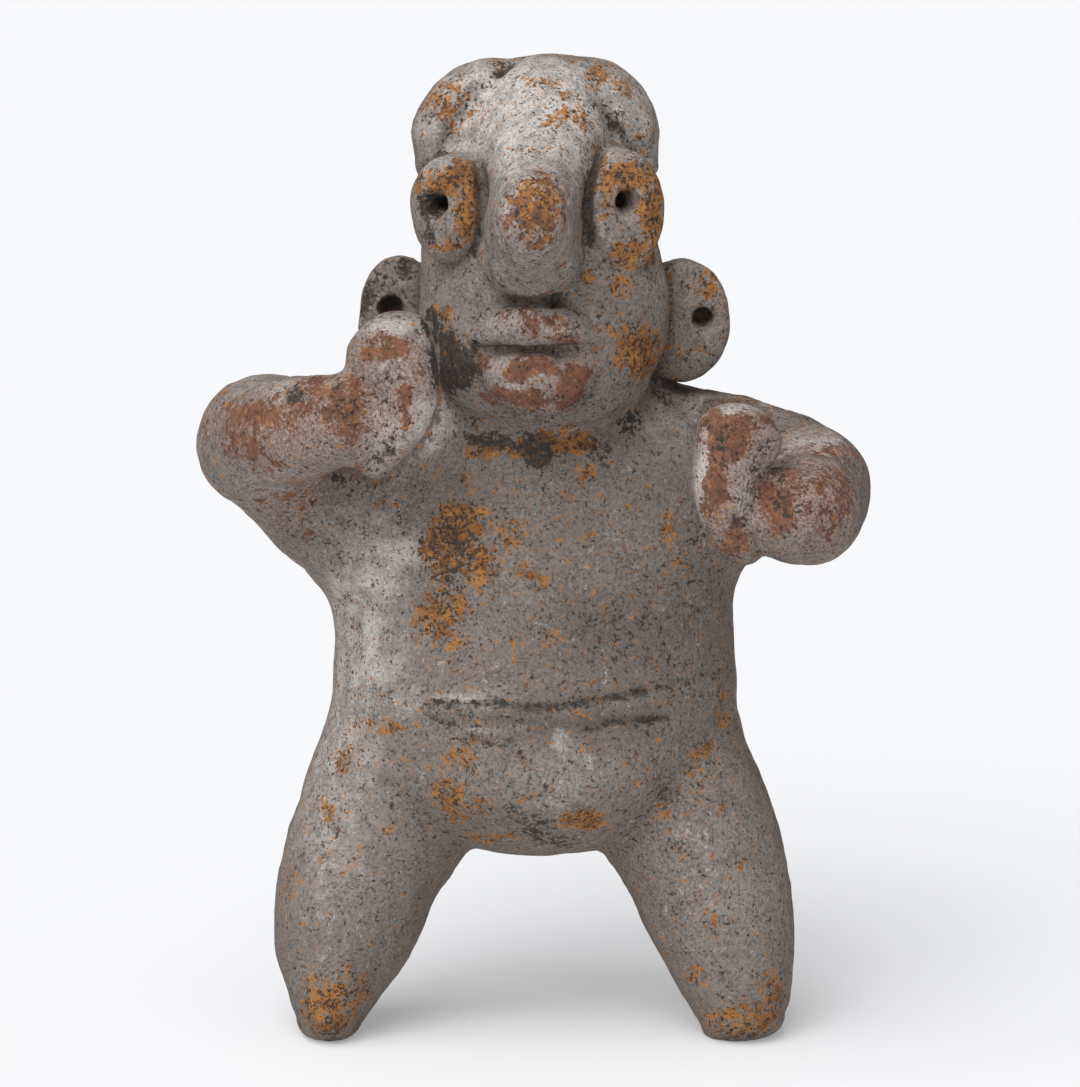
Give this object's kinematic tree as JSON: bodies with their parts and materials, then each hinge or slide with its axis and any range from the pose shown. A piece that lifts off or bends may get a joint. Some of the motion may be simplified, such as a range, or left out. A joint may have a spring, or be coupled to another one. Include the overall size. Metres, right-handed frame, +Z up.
{
  "type": "pottery whistle figure",
  "caption": "Hand-modelled fired-clay whistle in the form of a standing figure, with a hollow trunk, pellet eyes, ear discs, beak nose and raised arms.",
  "frame": {"origin": "middle of the figure's bounding box, on the ground plane under its soles", "axes": "+Z up the figure, -Y the way the face looks, +X to the viewer's right"},
  "size_m": [0.0866, 0.0664, 0.1292],
  "materials": {
    "fired_clay": "unglazed fired clay, matte, with a grey-taupe mineral crust over worn brick-red slip and ochre patches"
  },
  "bodies": {
    "root": {"whistle_figure": "fired_clay"}
  },
  "joints": []
}
